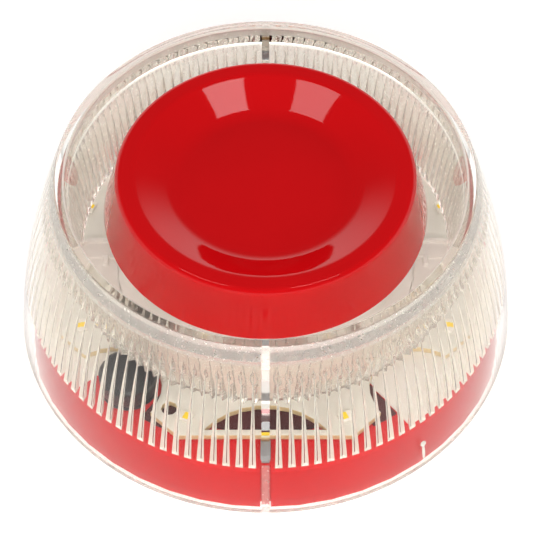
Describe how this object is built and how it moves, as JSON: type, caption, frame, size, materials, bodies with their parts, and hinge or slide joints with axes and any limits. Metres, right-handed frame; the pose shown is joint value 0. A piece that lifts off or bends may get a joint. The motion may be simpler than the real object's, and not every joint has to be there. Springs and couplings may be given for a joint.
{
  "type": "horn strobe",
  "caption": "Round wall sounder and light beacon: clear ribbed lens with an inner funnel, red dished cap over the sound outlet, red body and a twist-off wall base.",
  "frame": {"origin": "centre of the wall base's rear face, on the wall plane", "axes": "+Z points away from the wall, -Y is the front seam of the lens, +X is to the right of it"},
  "size_m": [0.112, 0.112, 0.048],
  "materials": {
    "clear_polycarbonate": "polished moulding, clear",
    "red_gloss": "polished moulding",
    "red_satin": "fine satin moulding",
    "white_plastic": "fine satin moulding",
    "board_white": "white solder resist",
    "board_green": "green solder resist",
    "black_plastic": "moulded",
    "grey_plastic": "moulded",
    "led_package": "white package with yellow phosphor",
    "zinc_steel": "bright zinc plating",
    "brass_sheet": "rolled sheet",
    "rubber_black": "moulded",
    "ceramic_white": "fired and silvered",
    "copper_wire": "enamelled wire",
    "ferrite_grey": "pressed and sintered"
  },
  "bodies": {
    "base": {"base_plate": "white_plastic", "base_gasket": "rubber_black", "terminal_block": "black_plastic", "terminal_plate_1": "brass_sheet", "terminal_plate_2": "brass_sheet", "terminal_plate_3": "brass_sheet", "terminal_plate_4": "brass_sheet"},
    "head": {"red_body": "red_satin", "rear_cover": "white_plastic", "main_board": "board_green", "coil_core": "ferrite_grey", "coil_winding": "copper_wire", "board_link": "black_plastic", "tone_switch": "red_satin", "volume_body": "black_plastic", "cover_screw_1": "zinc_steel", "cover_screw_2": "zinc_steel", "tower_screw_1": "zinc_steel", "tower_screw_2": "zinc_steel", "tower_screw_3": "zinc_steel", "cap_screw_1": "zinc_steel", "cap_screw_2": "zinc_steel", "cap_screw_3": "zinc_steel", "light_board": "board_white", "led_1": "led_package", "led_2": "led_package", "led_3": "led_package", "led_4": "led_package", "led_5": "led_package", "led_6": "led_package", "led_7": "led_package", "led_8": "led_package", "status_led": "led_package", "storage_capacitor": "black_plastic", "board_retainer_right": "white_plastic", "board_retainer_left": "white_plastic", "lens_catch_front": "grey_plastic", "lens_catch_back": "grey_plastic", "sounder_tower": "white_plastic", "piezo_seal": "rubber_black", "piezo_ceramic": "ceramic_white", "piezo_disc": "brass_sheet", "piezo_pin_1": "zinc_steel", "piezo_pin_2": "zinc_steel", "throat_plate": "white_plastic", "sound_cap": "red_gloss", "clear_lens": "clear_polycarbonate", "head_contact_1": "zinc_steel", "head_contact_2": "zinc_steel", "head_contact_3": "zinc_steel", "head_contact_4": "zinc_steel"},
    "terminal_screw_1": {"terminal_screw_1": "zinc_steel"},
    "terminal_screw_2": {"terminal_screw_2": "zinc_steel"},
    "terminal_screw_3": {"terminal_screw_3": "zinc_steel"},
    "terminal_screw_4": {"terminal_screw_4": "zinc_steel"},
    "tone_lever_1": {"tone_lever_1": "white_plastic"},
    "tone_lever_2": {"tone_lever_2": "white_plastic"},
    "tone_lever_3": {"tone_lever_3": "white_plastic"},
    "tone_lever_4": {"tone_lever_4": "white_plastic"},
    "volume_rotor": {"volume_rotor": "white_plastic"}
  },
  "joints": [
    {"name": "head_twist", "type": "hinge", "parent": "base", "child": "head", "pos_m": [0, 0, 0.0057], "axis": [0, 0, 1], "range_deg": [0, 24]},
    {"name": "terminal_screw_turn_1", "type": "hinge", "parent": "base", "child": "terminal_screw_1", "pos_m": [0.00887, 0.01903, 0.006], "axis": [0, 0, 1], "range_deg": [0, 720]},
    {"name": "terminal_screw_turn_2", "type": "hinge", "parent": "base", "child": "terminal_screw_2", "pos_m": [-0.01903, 0.00887, 0.006], "axis": [0, 0, 1], "range_deg": [0, 720]},
    {"name": "terminal_screw_turn_3", "type": "hinge", "parent": "base", "child": "terminal_screw_3", "pos_m": [-0.00887, -0.01903, 0.006], "axis": [0, 0, 1], "range_deg": [0, 720]},
    {"name": "terminal_screw_turn_4", "type": "hinge", "parent": "base", "child": "terminal_screw_4", "pos_m": [0.01903, -0.00887, 0.006], "axis": [0, 0, 1], "range_deg": [0, 720]},
    {"name": "tone_lever_slide_1", "type": "slide", "parent": "head", "child": "tone_lever_1", "axis": [-1, 0, 0], "range_m": [0, 0.0014]},
    {"name": "tone_lever_slide_2", "type": "slide", "parent": "head", "child": "tone_lever_2", "axis": [-1, 0, 0], "range_m": [0, 0.0014]},
    {"name": "tone_lever_slide_3", "type": "slide", "parent": "head", "child": "tone_lever_3", "axis": [-1, 0, 0], "range_m": [0, 0.0014]},
    {"name": "tone_lever_slide_4", "type": "slide", "parent": "head", "child": "tone_lever_4", "axis": [-1, 0, 0], "range_m": [0, 0.0014]},
    {"name": "volume_turn", "type": "hinge", "parent": "head", "child": "volume_rotor", "pos_m": [0.035, 0, 0.0075], "axis": [0, 0, -1], "range_deg": [-135, 135]}
  ]
}
